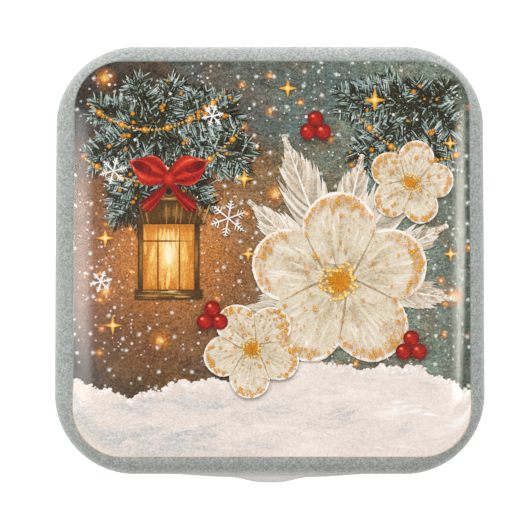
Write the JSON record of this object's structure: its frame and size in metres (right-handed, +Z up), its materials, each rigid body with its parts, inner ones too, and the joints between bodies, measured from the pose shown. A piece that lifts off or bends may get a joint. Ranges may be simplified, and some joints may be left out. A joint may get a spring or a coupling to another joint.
{
  "type": "needle tin",
  "caption": "Small square hinged tin with round corners, a thumb lip, and a lid label with a winter picture under clear domed resin.",
  "frame": {"origin": "middle of the tin's underside, on the plane it rests on", "axes": "+Z up through the lid, +Y towards the hinge, -Y towards the thumb lip, +X to the right as seen in the picture"},
  "size_m": [0.08, 0.0822, 0.0226],
  "materials": {
    "tray_paint": "satin sage paint outside, bare tin inside",
    "lid_paint": "satin sage paint, bare tin inside and on the thumb lip",
    "magnet": "matte dark flexible magnet",
    "teal_sky_print": "printed vinyl film",
    "dark_sky_print": "print",
    "snow_print": "print",
    "fir_print": "print",
    "frost_print": "print",
    "brass_print": "print",
    "lamp_print": "print",
    "red_print": "print",
    "petal_print": "print",
    "gold_print": "print",
    "clear_resin": "clear glossy domed resin"
  },
  "bodies": {
    "base": {"base_tray": "tray_paint", "magnetic_sheet": "magnet"},
    "lid": {"lid": "lid_paint", "label_film": "teal_sky_print", "night_sky": "dark_sky_print", "snow_bank": "snow_print", "fir_spray_left": "fir_print", "fir_spray_right": "fir_print", "frosted_spray": "frost_print", "lantern": "brass_print", "lantern_light": "lamp_print", "ribbon_bow": "red_print", "winter_rose_large": "petal_print", "winter_rose_low": "petal_print", "winter_rose_high": "petal_print", "rose_centre_large": "gold_print", "rose_centre_low": "gold_print", "rose_centre_high": "gold_print", "red_berries_left": "red_print", "red_berries_right": "red_print", "red_berries_top": "red_print", "gold_star_one": "gold_print", "gold_star_two": "gold_print", "gold_star_three": "gold_print", "gold_star_four": "gold_print", "gold_star_five": "gold_print", "gold_star_six": "gold_print", "gold_star_seven": "gold_print", "gold_star_eight": "gold_print", "resin_dome": "clear_resin"}
  },
  "joints": [
    {"name": "lid_hinge", "type": "hinge", "parent": "base", "child": "lid", "pos_m": [0, 0.0394, 0.0126], "axis": [-1, 0, 0], "range_deg": [0, 110]}
  ]
}
